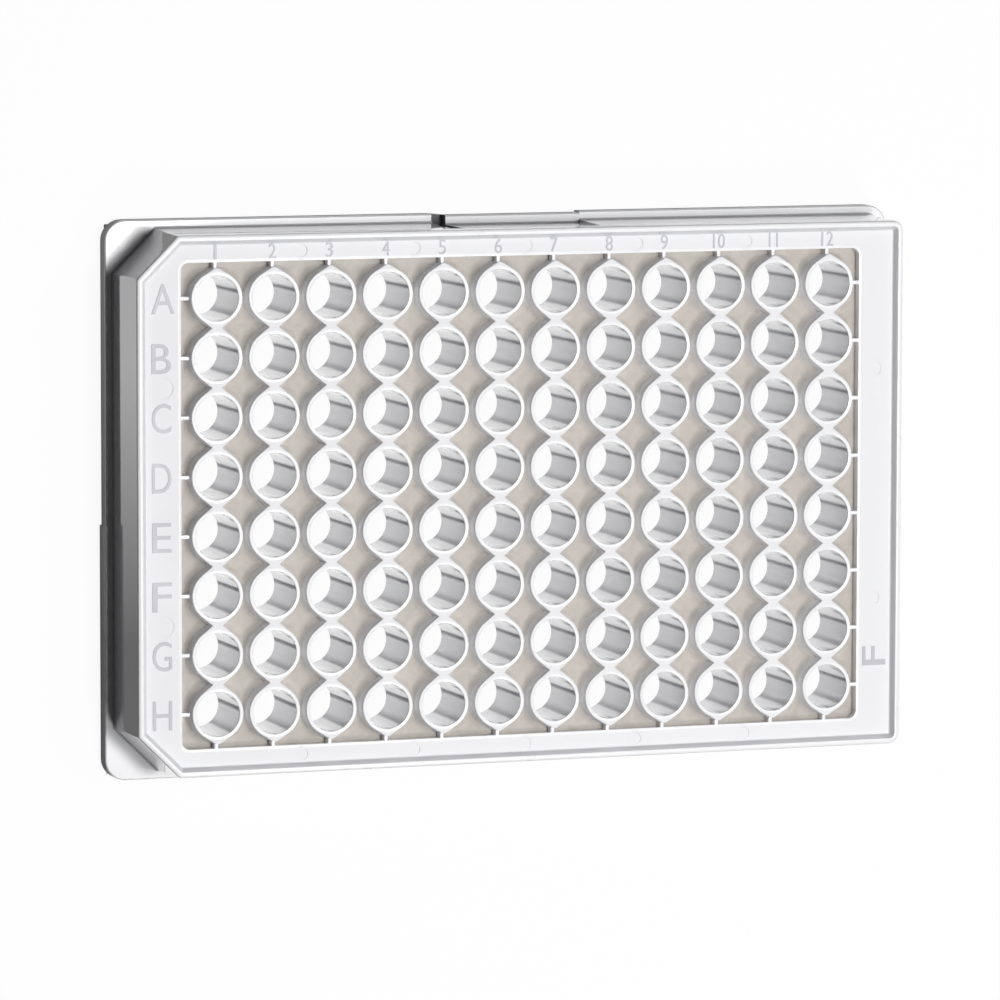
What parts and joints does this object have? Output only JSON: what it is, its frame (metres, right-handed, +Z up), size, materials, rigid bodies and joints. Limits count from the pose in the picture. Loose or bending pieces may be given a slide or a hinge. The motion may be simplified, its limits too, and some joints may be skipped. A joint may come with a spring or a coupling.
{
  "type": "well plate",
  "caption": "Flat rectangular laboratory plate with a grid of open round wells, see-through flat well bottoms, a lettered rim frame, two cut corners and a wider foot flange.",
  "frame": {"origin": "middle of the footprint, on the surface the plate stands on", "axes": "+X along the rows from column 1 to column 12, +Y from row H towards row A, +Z up out of the wells"},
  "size_m": [0.1278, 0.0854, 0.0144],
  "materials": {
    "white_polystyrene": "satin",
    "clear_film": "gloss"
  },
  "bodies": {
    "root": {"plate_body": "white_polystyrene", "bottom_film": "clear_film"}
  },
  "joints": []
}
